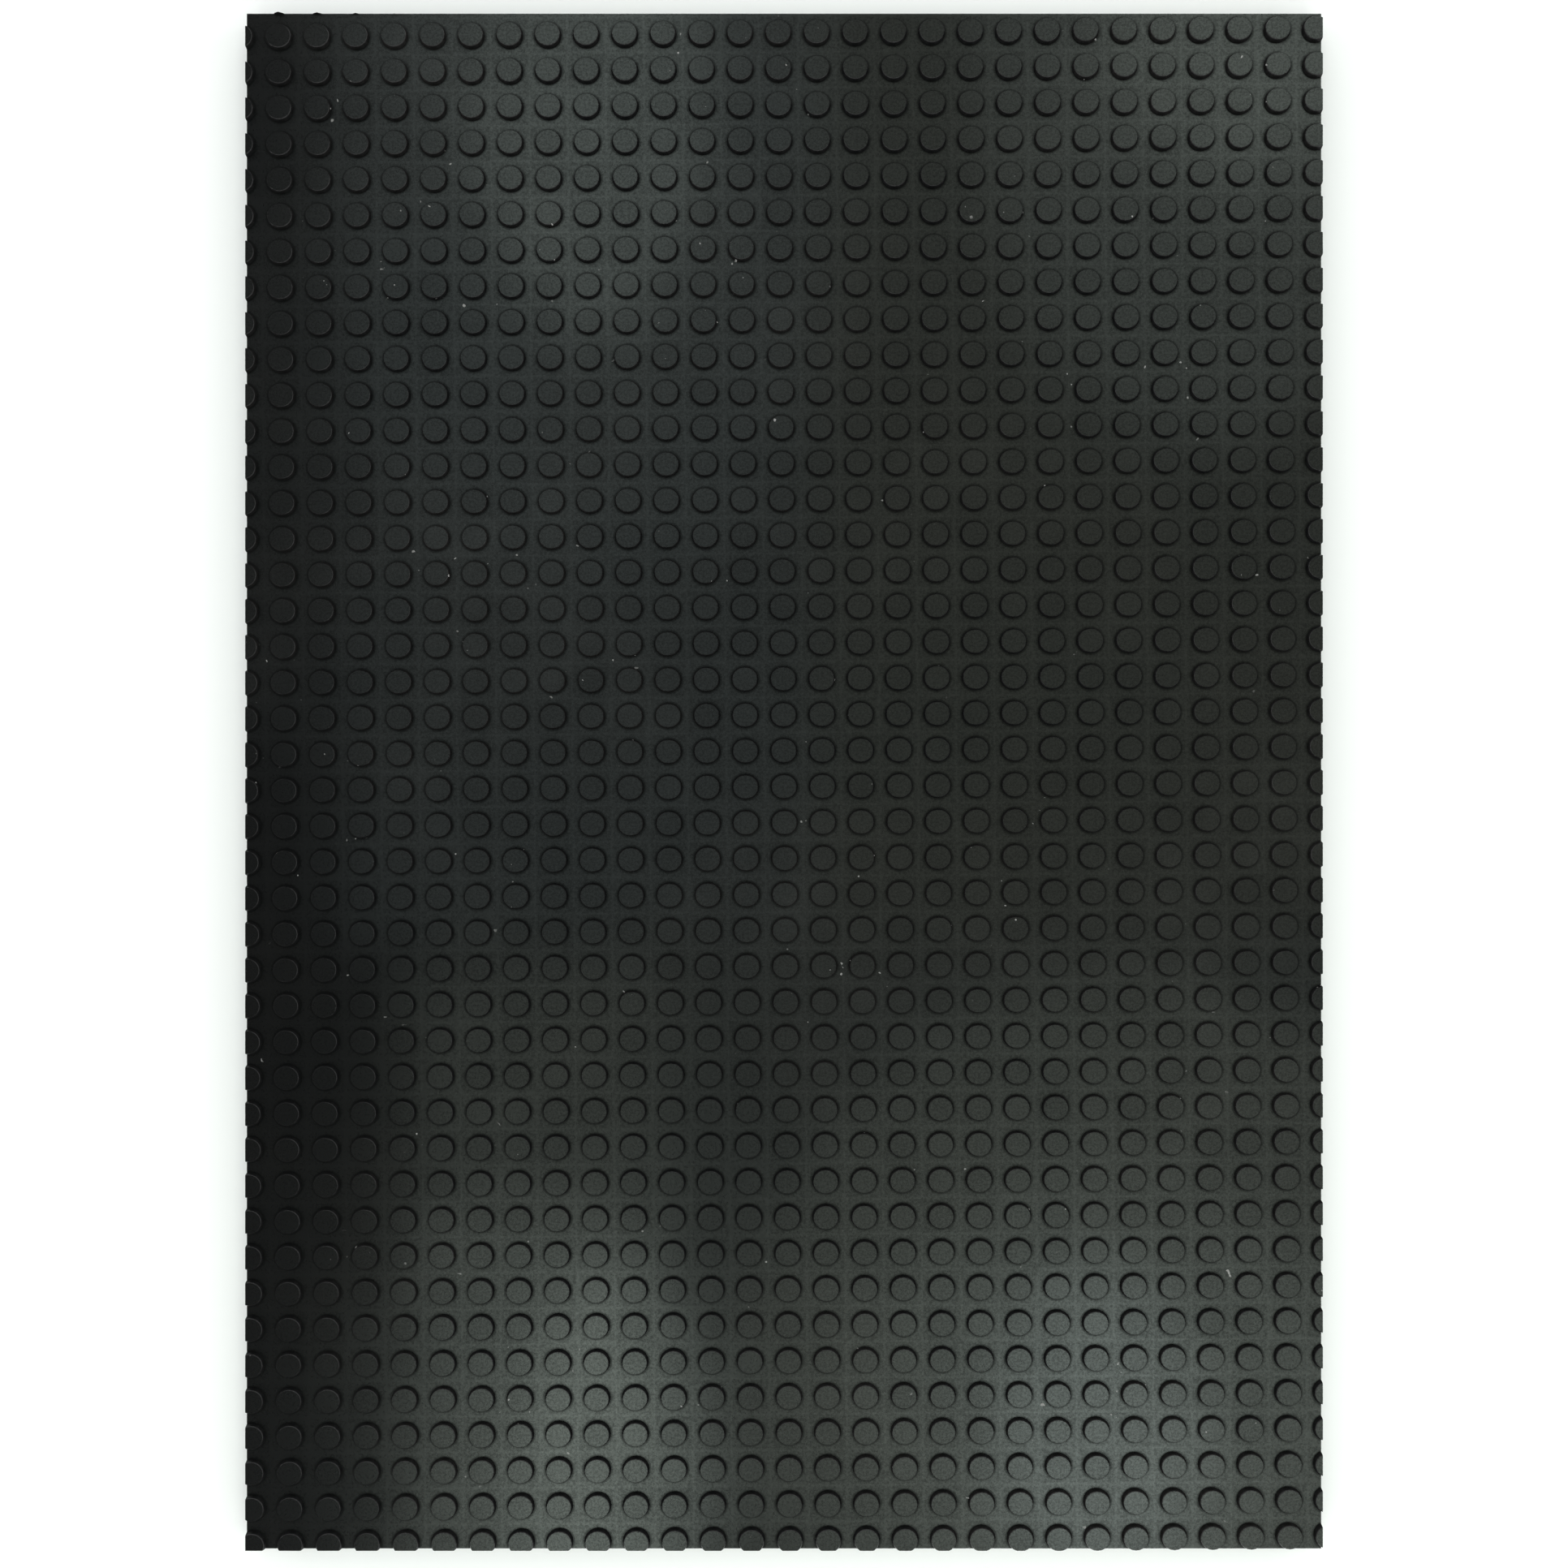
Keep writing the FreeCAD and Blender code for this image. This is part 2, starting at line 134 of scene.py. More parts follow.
# %% The tile's ground
stud_sides = 20
grid_steps = stud_sides // 4
foot_radius_x = 0.0090
foot_radius_y = 0.00845
bpy.ops.object.select_all(action="DESELECT")
bpy.ops.mesh.primitive_grid_add(
    x_subdivisions=grid_steps, y_subdivisions=grid_steps, size=1, location=(0, 0, sheet_top)
)
cover = bpy.context.object
cover.name = "studded_rubber_cover"
bpy.ops.object.mode_set(mode="EDIT")
bpy.ops.transform.resize(value=(pitch_x, pitch_y, 1), center_override=(0, 0, sheet_top))
leave_edit()
bpy.ops.object.transform_apply(location=True, rotation=True, scale=True)
inside = 0.499


def inside_tile(at):
    return abs(at.x) < inside * pitch_x and abs(at.y) < inside * pitch_y


choose_points(cover, inside_tile)
bpy.ops.mesh.delete(type="VERT")
bpy.ops.mesh.primitive_circle_add(vertices=stud_sides, radius=foot_radius_x, location=(0, 0, sheet_top))
bpy.ops.transform.resize(value=(1, foot_radius_y / foot_radius_x, 1), center_override=(0, 0, sheet_top))
bpy.ops.mesh.select_all(action="SELECT")
bpy.ops.mesh.bridge_edge_loops()
leave_edit()
ground_area = sum(face.area for face in cover.data.polygons)
ground_share = ground_area / (pitch_x * pitch_y)
print("ground faces", len(cover.data.polygons), "share of the tile", round(ground_share, 3))

# %% The tile's stud
wall_shrink = 0.920
rim_shrink = 0.948
choose_points(cover, inside_tile)
for rise, shrink in ((wall_rise, wall_shrink), (rim_rise, rim_shrink)):
    bpy.ops.mesh.extrude_region_move(TRANSFORM_OT_translate={"value": (0, 0, rise)})
    bpy.ops.transform.resize(value=(shrink, shrink, 1), center_override=(0, 0, sheet_top))
bpy.ops.mesh.edge_face_add()
leave_edit()
measured(cover)

# %% [markdown]
# ## The whole sheet from one tile
# Two Array modifiers repeat the tile across and along, and join the points where tiles meet. The pattern is
# then moved so that one stud is the middle one, turned a little against the outline, and cut along the four
# edges with bisect. Cutting after repeating is also how the real mat is made: it is cut from a long moulded
# sheet, so its edges run through studs wherever they fall.

# %% Repeat the tile
spare = 2
half_columns = math.ceil(half_width / pitch_x) + spare
half_rows = math.ceil(half_length / pitch_y) + spare
merge_distance = 0.0001
for count, step in ((2 * half_columns + 1, (pitch_x, 0, 0)), (2 * half_rows + 1, (0, pitch_y, 0))):
    only(cover)
    bpy.ops.object.modifier_add(type="ARRAY")
    repeat = cover.modifiers[-1]
    repeat.count = count
    repeat.use_relative_offset = False
    repeat.use_constant_offset = True
    repeat.constant_offset_displace = step
    repeat.use_merge_vertices = True
    repeat.merge_threshold = merge_distance
    bpy.ops.object.modifier_apply(modifier=repeat.name)
print("tiles", (2 * half_columns + 1) * (2 * half_rows + 1))

# %% Turn the pattern and cut it to the outline
only(cover)
bpy.ops.object.mode_set(mode="EDIT")
bpy.ops.mesh.select_all(action="SELECT")
first = (-half_columns * pitch_x, -half_rows * pitch_y + stud_shift_y, 0)
bpy.ops.transform.translate(value=first)
bpy.ops.transform.rotate(value=-stud_turn, orient_axis="Z", center_override=(0, 0, 0))
cuts = [
    ((half_width, 0, 0), (1, 0, 0)),
    ((-half_width, 0, 0), (-1, 0, 0)),
    ((0, half_length, 0), (0, 1, 0)),
    ((0, -half_length, 0), (0, -1, 0)),
]
cut_threshold = 0.000001
for place, direction in cuts:
    bpy.ops.mesh.select_all(action="SELECT")
    bpy.ops.mesh.bisect(plane_co=place, plane_no=direction, clear_outer=True, threshold=cut_threshold)
leave_edit()
measured(cover)

# %% [markdown]
# ## The sheet's cut sides and underside
# The open edge of the skin is extruded down and pressed flat at the level of the adhesive film. The same
# move makes the upright cut faces, with the sliced studs standing in them, and the loop is closed by one
# flat underside.

# %% Close the sheet
only(cover)
bpy.ops.object.mode_set(mode="EDIT")
bpy.ops.mesh.select_mode(type="VERT")
bpy.ops.mesh.select_all(action="DESELECT")
bpy.ops.mesh.select_non_manifold()
bpy.ops.mesh.extrude_region_move(TRANSFORM_OT_translate={"value": (0, 0, 0)})
bpy.ops.transform.resize(value=(1, 1, 0), center_override=(0, 0, sheet_bottom))
bpy.ops.mesh.edge_face_add()
bpy.ops.mesh.select_all(action="SELECT")
bpy.ops.mesh.normals_make_consistent(inside=False)
leave_edit()
stud_sharp_angle = math.radians(40)
bpy.ops.object.shade_smooth_by_angle(angle=stud_sharp_angle)
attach(cover, "root")
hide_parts("studded_cover")
measured(cover)
top_face = max(cover.data.polygons, key=lambda face: face.center.z)
print("top faces up", round(top_face.normal.z, 3), "height", round(top_face.center.z, 4))

# %% [markdown]
# ## Check the pattern
# The new cover takes the place of the designed one, so its studs must stand where those stand. Two are
# compared: the middle one, and one near a corner, where a wrong pitch or turn would show most.

# %% Check the pattern against the designed cover
clear_x = half_width - pitch_x
clear_y = half_length - pitch_y
designed = nodes["studded_cover"].data.vertices
tops = [at.co for at in designed if at.co.z > stud_top - merge_distance]
ours = [face.center for face in cover.data.polygons if face.center.z > stud_top - merge_distance]
middle = min(ours, key=lambda at: at.x ** 2 + at.y ** 2)
whole = [at for at in ours if abs(at.x) < clear_x and abs(at.y) < clear_y]
corner = max(whole, key=lambda at: at.x + at.y)
for stud in (middle, corner):
    near = [at for at in tops if (at - stud).length < foot_radius_x]
    x = sum(at.x for at in near) / len(near)
    y = sum(at.y for at in near) / len(near)
    print("stud at", round(stud.x, 4), round(stud.y, 4), "designed at", round(x, 4), round(y, 4))

# %% [markdown]
# ## The lower cover
# The lower cover is a slab of rubber with a shallow pocket moulded into its top for the heating layers. It
# starts as a cube of the mat's size. The top face is inset by the border's width and pushed down to leave
# the floor, the lower edges are rounded, and the upper ones get a small bevel, so that the glued joint
# shows as a fine line.

# %% The lower cover
base_middle = (0, 0, base_height / 2)
border_width = 0.020
floor_thickness = 0.003
foot_bevel = 0.0012
joint_bevel = 0.0008
edge_reach = 0.0001
facing_up = 0.999
bpy.ops.object.select_all(action="DESELECT")
bpy.ops.mesh.primitive_cube_add(size=1, location=base_middle)
base = bpy.context.object
base.name = "lower_rubber_cover"
bpy.ops.object.mode_set(mode="EDIT")
bpy.ops.transform.resize(value=(2 * half_width, 2 * half_length, base_height), center_override=base_middle)
leave_edit()
bpy.ops.object.transform_apply(location=True, rotation=True, scale=True)
choose_points(base, lambda at: at.z < edge_reach)
bpy.ops.mesh.bevel(offset=foot_bevel, segments=3, affect="EDGES")
choose_points(base, lambda at: at.z > base_height - edge_reach)
bpy.ops.mesh.bevel(offset=joint_bevel, segments=2, affect="EDGES")
choose_faces(base, lambda face: face.normal.z > facing_up)
bpy.ops.mesh.inset(thickness=border_width - joint_bevel)
bpy.ops.mesh.extrude_region_move(TRANSFORM_OT_translate={"value": (0, 0, floor_thickness - base_height)})
leave_edit()
pocket = max(base.data.polygons, key=lambda face: face.area if face.normal.z > facing_up else 0)
print("pocket floor", round(pocket.center.z, 4), "area", round(pocket.area, 3))

# %% [markdown]
# ## The cord inlet and the junction's recess
# The inlet is a stepped hole through the border, and the junction tray stands in a recess of the pocket's
# floor. Both are cut with simple shapes by the Boolean modifier, as a mould's cores and pins would form
# them.

# %% Cut the inlet and the recess
gland_low, gland_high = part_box("cable_gland")
tray_low, tray_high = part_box("junction_tray")
inlet_x = (gland_low[0] + gland_high[0]) / 2
inlet_z = (gland_low[2] + gland_high[2]) / 2
collar_radius = (gland_high[0] - gland_low[0]) / 2
collar_length = 0.0025
bore_radius = 0.0025
gland_radius = 0.0033
gland_fit = 0.00005
tray_fit = 0.0003
past = 0.001
ring_sides = 48
border_end = border_width - half_length


def cut_away(piece, cutter):
    """Take the cutter's shape out of a piece, and delete the cutter."""
    bpy.ops.object.transform_apply(location=True, rotation=True, scale=True)
    only(piece)
    bpy.ops.object.modifier_add(type="BOOLEAN")
    step = piece.modifiers[-1]
    step.operation = "DIFFERENCE"
    step.solver = "EXACT"
    step.object = cutter
    bpy.ops.object.modifier_apply(modifier=step.name)
    only(cutter)
    bpy.ops.object.delete()


def cut_round(piece, radius, start_y, end_y):
    """A round hole on the inlet's axis."""
    middle = (inlet_x, (start_y + end_y) / 2, inlet_z)
    bpy.ops.object.select_all(action="DESELECT")
    bpy.ops.mesh.primitive_cylinder_add(
        vertices=ring_sides,
        radius=radius,
        depth=end_y - start_y,
        location=middle,
        rotation=(math.pi / 2, 0, 0),
    )
    cut_away(piece, bpy.context.object)


cut_round(base, gland_radius + gland_fit, -half_length - past, border_end + past)
cut_round(base, collar_radius + gland_fit, border_end - collar_length - gland_fit, border_end + past)
low = (tray_low[0] - tray_fit, tray_low[1], tray_low[2])
high = (tray_high[0] + tray_fit, tray_high[1] + tray_fit, base_height + past)
bpy.ops.object.select_all(action="DESELECT")
bpy.ops.mesh.primitive_cube_add(
    size=1,
    location=[(a + b) / 2 for a, b in zip(low, high)],
    scale=[b - a for a, b in zip(low, high)],
)
cut_away(base, bpy.context.object)
only(base)
base_sharp_angle = math.radians(30)
bpy.ops.object.shade_smooth_by_angle(angle=base_sharp_angle)
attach(base, "root")
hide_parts("base_cover")
measured(base)

# %% [markdown]
# ## The gland
# The gland is a moulded rubber bush that would hold a cord where it enters. It's round, so one ring of
# points is drawn along its outline, one extrusion a step, until the last ring meets the first. Its mouth is
# rounded, so that it wouldn't cut into a cord.

# %% The gland
front_y = gland_low[1]
lip = 0.0005
lip_round = 0.00015
ring_merge = 0.00001
gland_outline = [
    (front_y + lip, bore_radius),
    (front_y + lip_round, bore_radius + lip_round),
    (front_y, bore_radius + lip),
    (front_y, gland_radius - lip_round),
    (front_y + lip_round, gland_radius),
    (border_end - collar_length, gland_radius),
    (border_end - collar_length, collar_radius),
    (border_end, collar_radius),
    (border_end, gland_radius),
    (gland_high[1], gland_radius),
    (gland_high[1], bore_radius),
    (front_y + lip, bore_radius),
]
last_y, last_radius = gland_outline[0]
bpy.ops.object.select_all(action="DESELECT")
bpy.ops.mesh.primitive_circle_add(
    vertices=ring_sides, radius=last_radius, location=(inlet_x, last_y, inlet_z), rotation=(math.pi / 2, 0, 0)
)
gland = bpy.context.object
gland.name = "rubber_gland"
bpy.ops.object.transform_apply(location=True, rotation=True, scale=True)
bpy.ops.object.mode_set(mode="EDIT")
bpy.ops.mesh.select_mode(type="VERT")
bpy.ops.mesh.select_all(action="SELECT")
for y, radius in gland_outline[1:]:
    bpy.ops.mesh.extrude_region_move(TRANSFORM_OT_translate={"value": (0, y - last_y, 0)})
    growth = radius / last_radius
    bpy.ops.transform.resize(value=(growth, 1, growth), center_override=(inlet_x, y, inlet_z))
    last_y, last_radius = y, radius
bpy.ops.mesh.select_all(action="SELECT")
bpy.ops.mesh.remove_doubles(threshold=ring_merge)
bpy.ops.mesh.normals_make_consistent(inside=False)
leave_edit()
gland_sharp_angle = math.radians(50)
bpy.ops.object.shade_smooth_by_angle(angle=gland_sharp_angle)
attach(gland, "root")
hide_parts("cable_gland")
measured(gland)

# %% [markdown]
# ## Writing materials as sums
# A procedural finish is a small calculation for every point of the surface. One class holds a node's
# output, and adding, multiplying or comparing two of them adds the Math nodes, so a finish can be read as a
# formula.


# %% The class that writes shader maths
class Value:
    """The output of a node, which can be used in sums and given to other nodes."""

    def __init__(self, tree, socket):
        self.tree = tree
        self.socket = socket

    def node(self, kind, settings, inputs, output=0):
        """Add a node of any kind: its settings first, then the values or links of its sockets."""
        made = self.tree.nodes.new(kind)
        for name, setting in settings.items():
            setattr(made, name, setting)
        for name, given in inputs.items():
            if isinstance(given, Value):
                self.tree.links.new(given.socket, made.inputs[name])
            else:
                made.inputs[name].default_value = given
        return Value(self.tree, made.outputs[output])

    def maths(self, operation, *terms):
        return self.node("ShaderNodeMath", {"operation": operation}, dict(enumerate(terms)))

    def __add__(self, other):
        return self.maths("ADD", self, other)

    def __radd__(self, other):
        return self.maths("ADD", other, self)

    def __sub__(self, other):
        return self.maths("SUBTRACT", self, other)

    def __rsub__(self, other):
        return self.maths("SUBTRACT", other, self)

    def __mul__(self, other):
        return self.maths("MULTIPLY", self, other)

    def __rmul__(self, other):
        return self.maths("MULTIPLY", other, self)

    def __pow__(self, other):
        return self.maths("POWER", self, other)

    def between(self, low, high):
        """Nought below low, one above high, and smooth in the middle."""
        inputs = {"Value": self, "From Min": low, "From Max": high}
        return self.node("ShaderNodeMapRange", {"interpolation_type": "SMOOTHSTEP"}, inputs)

    def noise(self, scale, detail=2.0, rough=0.5):
        """Cloudy noise at this place, from nought to one."""
        inputs = {"Vector": self, "Scale": scale, "Detail": detail, "Roughness": rough}
        return self.node("ShaderNodeTexNoise", {}, inputs)

    def stretched(self, x, y, z):
        """The same place with each direction scaled, for streaks."""
        return self.node("ShaderNodeMapping", {}, {"Vector": self, "Scale": (x, y, z)})

    def blend(self, first, second):
        """Two colours mixed by this value."""
        return self.node("ShaderNodeMix", {"data_type": "RGBA"}, {0: self, 6: first, 7: second}, 2)


def new_finish(name):
    """A new material: the material, its shader, and the place on the object."""
    finish = bpy.data.materials.new(name)
    finish.use_nodes = True
    tree = finish.node_tree
    shader = tree.nodes["Principled BSDF"]
    place = Value(tree, tree.nodes.new("ShaderNodeTexCoord").outputs["Object"])
    return finish, shader, place


def give(shader, socket, value):
    """Link a value to a shader's socket."""
    value.tree.links.new(value.socket, shader.inputs[socket])


def raise_grain(shader, height, distance, strength=1.0):
    """Feed a height in metres times distance to the shader's normal."""
    bump = height.node("ShaderNodeBump", {}, {"Height": height, "Distance": distance, "Strength": strength})
    give(shader, "Normal", bump)


def grey(level, warmth=0.0):
    """A near-neutral colour, a little warmer or cooler."""
    return (level * (1 + warmth), level, level * (1 - warmth), 1)


# %% [markdown]
# ## The moulded rubber of the top cover
# Black rubber is nearly even in colour, and what the eye reads is its sheen. So the colour only drifts a
# little between a neutral and a faintly olive black, and a thin glossy coat, whose strength varies in fine
# mottles, gives the sheen. The material works out where each point lies within its own stud, from the same
# pitch as the mesh, so that the foot of each stud can be duller, with painted shade darkening its colour
# where it meets the ground, the rim of its top a little worn, and faint mould lines can run midway between
# studs. Dust and a few specks of lint come last. Noise sizes are in waves a metre.


# %% Moulded rubber
def stud_pattern(place):
    """A point's height, its distance from its stud's middle (one at the foot), the lines midway, its stud."""
    parts = [place.node("ShaderNodeSeparateXYZ", {}, {"Vector": place}, axis) for axis in range(3)]
    x, y, z = parts
    across = (x * math.cos(stud_turn) + y * math.sin(stud_turn)) * (1 / pitch_x)
    along = (y * math.cos(stud_turn) - x * math.sin(stud_turn) - stud_shift_y) * (1 / pitch_y)
    column = across.maths("ROUND", across)
    row = along.maths("ROUND", along)
    off_x = (across - column) * (pitch_x / foot_radius_x)
    off_y = (along - row) * (pitch_y / foot_radius_y)
    reach = (off_x * off_x + off_y * off_y) ** 0.5
    gap_x = off_x.maths("ABSOLUTE", off_x) * (2 * foot_radius_x / pitch_x)
    gap_y = off_y.maths("ABSOLUTE", off_y) * (2 * foot_radius_y / pitch_y)
    seam = gap_x.maths("MAXIMUM", gap_x, gap_y).between(0.88, 1.0)
    cell = place.node("ShaderNodeCombineXYZ", {}, {"X": column, "Y": row})
    own = cell.node("ShaderNodeTexWhiteNoise", {"noise_dimensions": "2D"}, {"Vector": cell})
    return z, reach, seam, own


def moulded_rubber():
    """Black rubber as it comes from the mould, with its coat's gloss given for each part of a stud."""
    finish, shader, place = new_finish("moulded_black_rubber")
    z, reach, seam, own = stud_pattern(place)
    # The noises, from the broadest to the finest
    clouds = place.noise(5.0, 4.0, 0.55)
    blotches = place.noise(38.0, 3.0, 0.6)
    mottle = 0.6 * place.noise(620.0, 2.0, 0.7).between(0.34, 0.66)
    mottle = mottle + 0.4 * place.noise(1300.0).between(0.3, 0.7)
    # The parts of a stud
    on_top = z.between(sheet_top + wall_rise, sheet_top + wall_rise + 0.6 * rim_rise)
    wall = z.between(sheet_top, sheet_top + 0.1 * wall_rise) * (1 - on_top)
    # The ring round each stud's foot: painted shade darkens the colour there, and the coat is duller
    foot_shade = reach.between(0.97, 1.01) * (1 - reach.between(1.01, 1.20)) * (1 - on_top)
    rim = reach.between(0.82, 0.87) * on_top
    shade = 1 - 0.12 * reach.between(0.74, 0.88) * on_top
    # The colour: rubber, painted shade at the feet, worn rims, dust and lint
    colour = clouds.between(0.35, 0.65).blend(grey(0.0024, -0.06), grey(0.0036, 0.04))
    # Painted shade: each stud's foot is darkened where it meets the ground
    colour = (foot_shade * 0.55).blend(colour, grey(0.0012))
    colour = (rim * 0.4 * blotches).blend(colour, grey(0.012))
    dust = clouds.between(0.45, 0.75) * blotches.between(0.35, 0.75) * (0.5 + 0.5 * own)
    colour = (dust * 0.03).blend(colour, grey(0.12, 0.04))
    lint = place.noise(250.0, 1.0).between(0.765, 0.80) * place.noise(21.0).between(0.52, 0.60)
    colour = (lint * 0.7).blend(colour, grey(0.30, 0.02))
    give(shader, "Base Color", colour)
    # The sheen
    give(shader, "Roughness", 0.42 + 0.14 * blotches + 0.08 * clouds + 0.3 * lint)
    gloss = 0.36 + 0.66 * mottle + 0.28 * blotches + 0.10 * (own - 0.5) + 0.14 * seam
    dulled = (1 - 0.78 * wall) * (1 - 0.62 * foot_shade) * (1 - 0.6 * lint)
    give(shader, "Coat Weight", gloss * shade * dulled)
    shader.inputs["Coat Roughness"].default_value = 0.17
    shader.inputs["Specular IOR Level"].default_value = 0.08
    grain_height = 0.000016
    raise_grain(shader, place.noise(1400.0, 2.0, 0.6) + 0.9 * place.noise(420.0, 2.0), grain_height)
    return finish


# %% [markdown]
# ## Cut rubber
# The sides of both covers are cut with a blade. The cut is duller and a little paler than the moulded face,
# with fine streaks along the edge that the blade leaves, so the noise is stretched along the mat and
# squeezed in height.


# %% Cut rubber
def cut_rubber(name, level):
    """Rubber cut by a blade, of a given lightness."""
    finish, shader, place = new_finish(name)
    streaks = place.stretched(60.0, 60.0, 2600.0).noise(1.0, 3.0, 0.6)
    nicks = place.noise(330.0, 3.0, 0.7)
    clouds = place.noise(9.0, 3.0, 0.6)
    colour = streaks.between(0.3, 0.7).blend(grey(level * 0.7), grey(level * 1.5, 0.02))
    colour = (nicks.between(0.66, 0.74) * 0.5).blend(colour, grey(level * 4))
    give(shader, "Base Color", colour)
    give(shader, "Roughness", 0.55 + 0.2 * clouds + 0.1 * streaks)
    raise_grain(shader, streaks + 0.6 * nicks, 0.00012)
    return finish


cover.data.materials.append(moulded_rubber())
cover.data.materials.append(cut_rubber("cut_cover_edge", 0.018))
choose_faces(cover, lambda face: abs(face.normal.z) < 0.001 and (
    abs(face.center.x) > half_width - merge_distance or abs(face.center.y) > half_length - merge_distance))
cover.active_material_index = 1
bpy.ops.object.material_slot_assign()
leave_edit()
print("cut faces", sum(face.material_index for face in cover.data.polygons))
base.data.materials.append(cut_rubber("lower_cover_rubber", 0.009))

# %% [markdown]
# ## Finishes for the parts inside
# The inner layers and the junction keep the designed shapes, and each gets the finish of its own stuff: foam,
# woven glass, rolled foil, silicone, moulded plastic and a few metals. Four small recipes cover them all.


# %% Recipes
def soft_finish(name, dark, light, rough, cell=900.0):
    """A dull solid such as foam, silicone or moulded plastic, with cloudy colour and a fine grain."""
    finish, shader, place = new_finish(name)
    clouds = place.noise(30.0, 3.0, 0.6)
    grain = place.noise(cell, 2.0, 0.6)
    give(shader, "Base Color", clouds.between(0.3, 0.7).blend(dark, light))
    give(shader, "Roughness", rough + 0.12 * clouds + 0.05 * grain)
    raise_grain(shader, grain, 0.00008)
    return finish


def metal_finish(name, dark, light, rough):
    """Drawn or rolled metal with faint streaks."""
    finish, shader, place = new_finish(name)
    shader.inputs["Metallic"].default_value = 1.0
    streaks = place.stretched(700.0, 90.0, 700.0).noise(1.0, 3.0, 0.6)
    tarnish = place.noise(140.0, 3.0, 0.6)
    give(shader, "Base Color", tarnish.between(0.35, 0.7).blend(dark, light))
    give(shader, "Roughness", rough + 0.12 * streaks + 0.08 * tarnish)
    raise_grain(shader, streaks, 0.00002)
    return finish


def woven_finish(name, dark, light, thread):
    """Woven or braided glass: two sets of threads that cross."""
    finish, shader, place = new_finish(name)
    turns = 2 * math.pi / thread
    axes = [place.node("ShaderNodeSeparateXYZ", {}, {"Vector": place}, axis) for axis in range(2)]
    warp, weft = [axis.maths("SINE", axis * turns) for axis in axes]
    weave = warp * weft
    give(shader, "Base Color", weave.between(-0.7, 0.7).blend(dark, light))
    give(shader, "Roughness", 0.62 + 0.1 * place.noise(60.0))
    raise_grain(shader, weave, 0.00005)
    return finish


def foil_finish(name):
    """Thin rolled aluminium, slightly crumpled."""
    finish, shader, place = new_finish(name)
    shader.inputs["Metallic"].default_value = 1.0
    rolled = place.stretched(900.0, 25.0, 1.0).noise(1.0, 3.0, 0.6)
    crumple = place.noise(45.0, 4.0, 0.6)
    give(shader, "Base Color", crumple.between(0.3, 0.7).blend(grey(0.70), grey(0.84)))
    give(shader, "Roughness", 0.22 + 0.14 * rolled + 0.1 * crumple)
    raise_grain(shader, crumple, 0.0012)
    return finish


# %% Give every designed part its finish
tinned = metal_finish("tinned_copper", grey(0.50), grey(0.72, 0.02), 0.25)
black_plastic = soft_finish("black_moulded_plastic", grey(0.020), grey(0.030), 0.42)
strip_silicone = soft_finish("pale_silicone", grey(0.55, 0.03), grey(0.68, 0.02), 0.5)
gland_rubber = soft_finish("gland_rubber", grey(0.008), grey(0.014), 0.5)
finishes = {
    "studded_cover": cut_rubber("hidden_cover", 0.013),
    "base_cover": cut_rubber("base_cover_rubber", 0.011),
    "edge_bond": soft_finish("bond_film", grey(0.006), grey(0.012), 0.28),
    "insulation_pad": soft_finish("closed_cell_foam", grey(0.12), grey(0.18, -0.02), 0.8, 500.0),
    "element_carrier": woven_finish("glass_scrim", grey(0.62, 0.03), grey(0.84, 0.03), 0.0016),
    "heat_spreader": foil_finish("aluminium_foil"),
    "heating_sheath": soft_finish("red_silicone", (0.42, 0.05, 0.03, 1), (0.58, 0.09, 0.05, 1), 0.45),
    "heating_core": metal_finish("resistance_wire", grey(0.42), grey(0.56, 0.03), 0.3),
    "cable_gland": gland_rubber,
    "junction_tray": black_plastic,
    "junction_lid": black_plastic,
    "cord_clamp": soft_finish("clamp_nylon", grey(0.62, 0.04), grey(0.72, 0.04), 0.4),
    "clamp_screws": metal_finish("zinc_plate", grey(0.45, -0.02), grey(0.62, -0.02), 0.28),
    "thermal_fuse": metal_finish("fuse_case", grey(0.58), grey(0.74), 0.3),
    "fuse_sleeve": woven_finish("braided_glass_sleeve", grey(0.55, 0.08), grey(0.80, 0.06), 0.0012),
    "earth_strap": metal_finish("copper_strip", (0.55, 0.25, 0.14, 1), (0.80, 0.42, 0.27, 1), 0.3),
}
for name, part in nodes.items():
    if name.startswith("spacer_strip"):
        finish = strip_silicone
    else:
        finish = finishes.get(name, tinned)
    part.data.materials.clear()
    part.data.materials.append(finish)
gland.data.materials.append(gland_rubber)
print("finished parts:", len(nodes), "finishes:", len(bpy.data.materials))

# %% [markdown]
# ## Floor, lights and camera
# A black sheet shows its lights more than itself, so each light overhead is given by the stretch of the mat
# that it is seen in. Seen from above, a point of the mat mirrors the ceiling about three times as far out,
# which turns that stretch into the panel's place and size. Wide dim panels give a faint sheen all over but
# for the left side, and smaller ones, stacked from wide to narrow, give the soft bright patches towards the
# four corners. Low panels on four sides light the pale floor, and don't show in the sheen.

# %% Floor
floor_radius = 2.9
bpy.ops.object.select_all(action="DESELECT")
bpy.ops.mesh.primitive_circle_add(vertices=96, radius=floor_radius, fill_type="NGON", location=(0, 0, 0))
bpy.ops.object.transform_apply(location=True, rotation=True, scale=True)
floor = bpy.context.object
floor.name = "floor"
floor_finish, floor_shader, floor_place = new_finish("pale_floor")
floor_tone = floor_place.noise(1.5, 2.0).between(0.2, 0.8)
give(floor_shader, "Base Color", floor_tone.blend(grey(0.86), grey(0.88)))
floor_shader.inputs["Roughness"].default_value = 0.9
floor.data.materials.append(floor_finish)
print("floor radius", floor_radius, "m")


